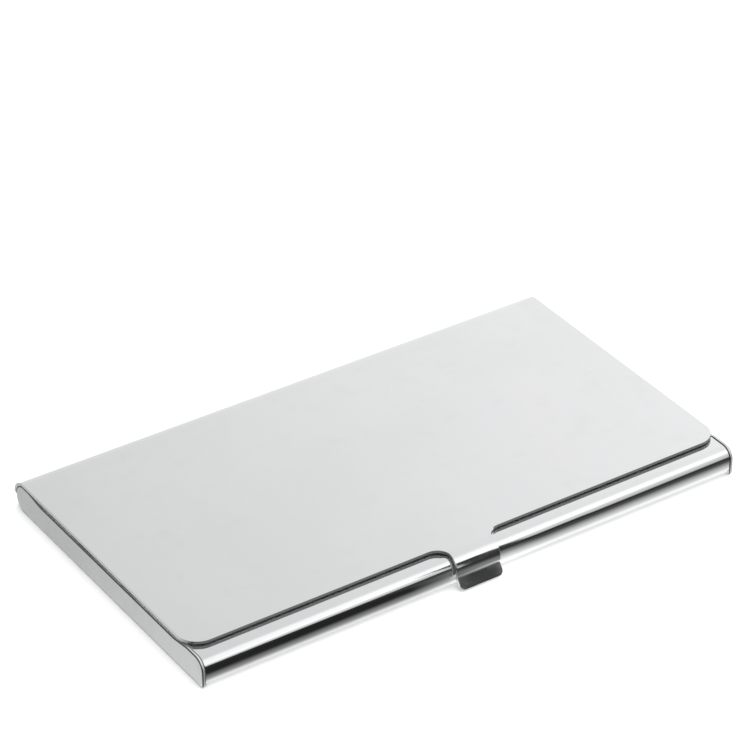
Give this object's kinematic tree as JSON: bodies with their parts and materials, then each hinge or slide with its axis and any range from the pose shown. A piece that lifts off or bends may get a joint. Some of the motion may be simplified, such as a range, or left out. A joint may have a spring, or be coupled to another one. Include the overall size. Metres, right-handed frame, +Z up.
{
  "type": "business card case",
  "caption": "Slim polished sheet-steel card case: a tray with a rolled front and lip, and a flat hinged lid with a thumb tab.",
  "frame": {"origin": "centre of the underside of the tray's floor, midway between the front of the roll and the rear of the lid", "axes": "+X along the hinge, -Y towards the front with the thumb tab, +Z up through the lid"},
  "size_m": [0.095, 0.0569, 0.0052],
  "materials": {
    "lid_sheet": "polished",
    "tray_sheet": "polished",
    "end_plate": "satin",
    "inner_sheet": "satin",
    "pin_steel": "satin"
  },
  "bodies": {
    "tray": {"tray_shell": "tray_sheet", "end_plate_left": "end_plate", "end_plate_right": "end_plate", "card_guide_left": "inner_sheet", "card_guide_right": "inner_sheet", "hinge_pin_left": "pin_steel", "hinge_pin_right": "pin_steel"},
    "lid": {"lid_shell": "lid_sheet", "hinge_bracket_left": "inner_sheet", "hinge_bracket_right": "inner_sheet"}
  },
  "joints": [
    {"name": "lid_hinge", "type": "hinge", "parent": "tray", "child": "lid", "pos_m": [0, 0.0246, 0.00225], "axis": [-1, 0, 0], "range_deg": [0, 110]}
  ]
}
